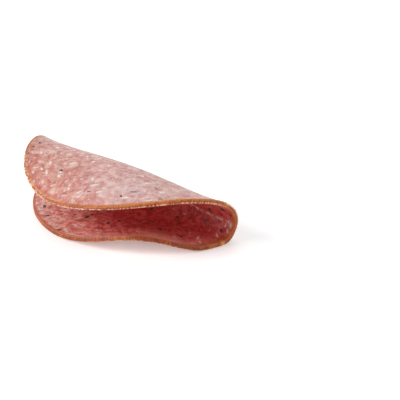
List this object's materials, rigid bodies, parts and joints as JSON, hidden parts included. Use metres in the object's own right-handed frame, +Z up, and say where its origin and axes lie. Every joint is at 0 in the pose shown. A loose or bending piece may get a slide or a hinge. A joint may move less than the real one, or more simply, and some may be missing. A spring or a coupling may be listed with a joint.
{
  "type": "cured sausage slice",
  "caption": "Thin round slice of cured sausage, folded over on itself into two parting flaps, lying on its lower flap with the fold behind.",
  "frame": {"origin": "centre of the slice's footprint, on the surface it lies on", "axes": "+X along the fold towards its wide open end, -Y towards the two flaps' free edges, +Z up"},
  "size_m": [0.095, 0.0448, 0.0247],
  "materials": {
    "cured_sausage": "moist satin cut face, finely ground pink meat and pale fat with an orange-brown rind"
  },
  "bodies": {
    "root": {"slice": "cured_sausage"}
  },
  "joints": []
}
